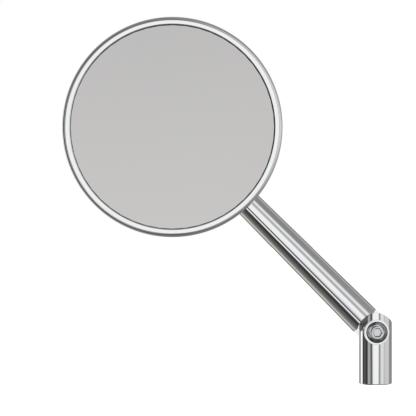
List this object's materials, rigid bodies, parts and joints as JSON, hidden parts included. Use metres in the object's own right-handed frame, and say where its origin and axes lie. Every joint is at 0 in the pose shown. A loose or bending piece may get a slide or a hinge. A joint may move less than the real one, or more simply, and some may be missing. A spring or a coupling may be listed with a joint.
{
  "type": "extendable shaving mirror",
  "caption": "Round face mirror with a polished rim on a tapering arm that folds on a round post; the post swivels on its mount and a ball joint tilts the mirror.",
  "frame": {"origin": "centre of the flat foot that is fixed to the wall, shelf or panel, on the post's axis", "axes": "+Z along the post, away from the fixing surface; the mirror faces -Y; the arm leans towards -X at rest"},
  "size_m": [0.2963, 0.0672, 0.3293],
  "materials": {
    "polished_chrome": "mirror-polished chrome plate",
    "mirror_glass": "silvered flat glass",
    "bright_steel": "bright turned steel",
    "spring_steel": "dark phosphated spring steel",
    "white_nylon": "natural nylon",
    "bearing_bronze": "sintered bronze",
    "black_rubber": "matt moulded rubber",
    "grey_plastic": "fine-textured moulding"
  },
  "bodies": {
    "mount": {"mount_spigot": "bright_steel", "seal_ring": "black_rubber", "thrust_washer": "white_nylon"},
    "post": {"base_post": "polished_chrome", "lower_bush": "bearing_bronze", "upper_bush": "bearing_bronze", "retaining_screw": "bright_steel", "front_pivot_cup": "polished_chrome", "pivot_bolt": "polished_chrome", "pivot_nut": "bright_steel"},
    "arm": {"arm_knuckle": "polished_chrome", "knuckle_bush": "bearing_bronze", "lap_washer": "white_nylon", "spring_washer": "white_nylon", "disc_spring_1": "spring_steel", "disc_spring_2": "spring_steel", "rear_hinge_cap": "polished_chrome", "arm_tube": "polished_chrome", "tube_fixing_screw": "bright_steel", "head_fixing_screw": "bright_steel", "arm_head_block": "polished_chrome", "arm_end_cap": "polished_chrome", "ball_stud": "polished_chrome", "stem_nut": "bright_steel"},
    "ball_seat": {"rear_ball_seat": "white_nylon"},
    "ball_cup": {"front_ball_cup": "white_nylon"},
    "mirror_head": {"socket_housing": "polished_chrome", "clamp_ring": "polished_chrome", "pressure_pad": "white_nylon", "pressure_spring": "spring_steel", "socket_screw_1": "bright_steel", "socket_screw_2": "bright_steel", "socket_screw_3": "bright_steel", "back_shell": "polished_chrome", "backing_disc": "grey_plastic", "glass_gasket": "black_rubber", "mirror_glass": "mirror_glass", "rim_ring": "polished_chrome"}
  },
  "joints": [
    {"name": "base_swivel", "type": "hinge", "parent": "mount", "child": "post", "pos_m": [0, 0, 0], "axis": [0, 0, 1], "continuous": true},
    {"name": "arm_fold", "type": "hinge", "parent": "post", "child": "arm", "pos_m": [0, 0, 0.048], "axis": [0, 1, 0], "range_deg": [-33, 123]},
    {"name": "mirror_tilt_along_arm", "type": "hinge", "parent": "arm", "child": "ball_seat", "pos_m": [-0.18385, -0.026, 0.23185], "axis": [0.7071, 0, 0.7071], "range_deg": [-20, 15]},
    {"name": "mirror_tilt_across_arm", "type": "hinge", "parent": "ball_seat", "child": "ball_cup", "pos_m": [-0.18385, -0.026, 0.23185], "axis": [-0.7071, 0, 0.7071], "range_deg": [-20, 20]},
    {"name": "mirror_turn", "type": "hinge", "parent": "ball_cup", "child": "mirror_head", "pos_m": [-0.18385, -0.026, 0.23185], "axis": [0, 1, 0], "continuous": true}
  ]
}
